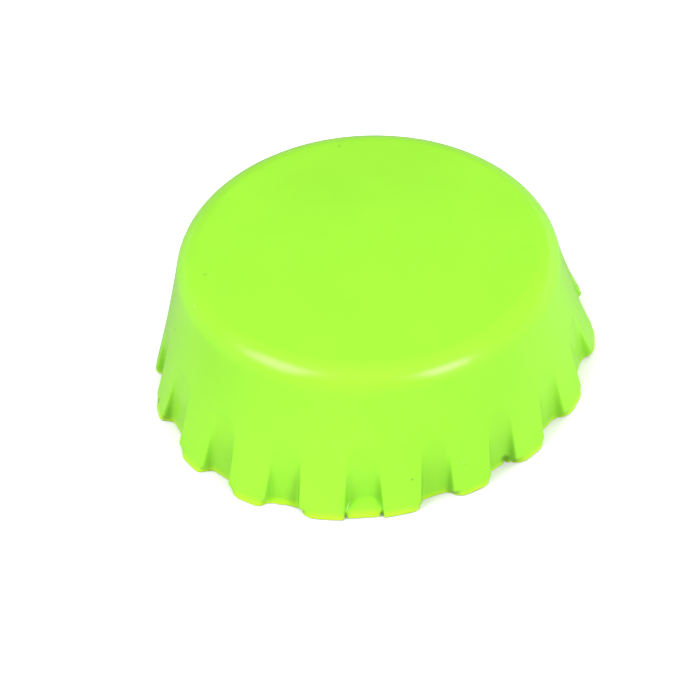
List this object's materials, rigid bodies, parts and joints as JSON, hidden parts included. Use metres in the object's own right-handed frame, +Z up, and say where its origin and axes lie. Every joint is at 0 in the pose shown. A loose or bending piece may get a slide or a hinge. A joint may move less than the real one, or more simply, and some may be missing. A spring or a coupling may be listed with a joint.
{
  "type": "silicone bottle cap",
  "caption": "Stretch-on silicone bottle cap shaped like a crown cork: flat deck, rounded shoulder, flared wall and fluted skirt, hollow below with a land that grips the neck.",
  "frame": {"origin": "centre of the foot, on the plane that the teeth of the skirt stand on", "axes": "+Z up the cap's axis towards the deck, -Z out of the mouth, one flute centred on -Y"},
  "size_m": [0.03, 0.0298, 0.01],
  "materials": {
    "silicone": "lime green moulded silicone rubber, satin with soft highlights, slightly translucent at thin edges"
  },
  "bodies": {
    "root": {"cap": "silicone"}
  },
  "joints": []
}
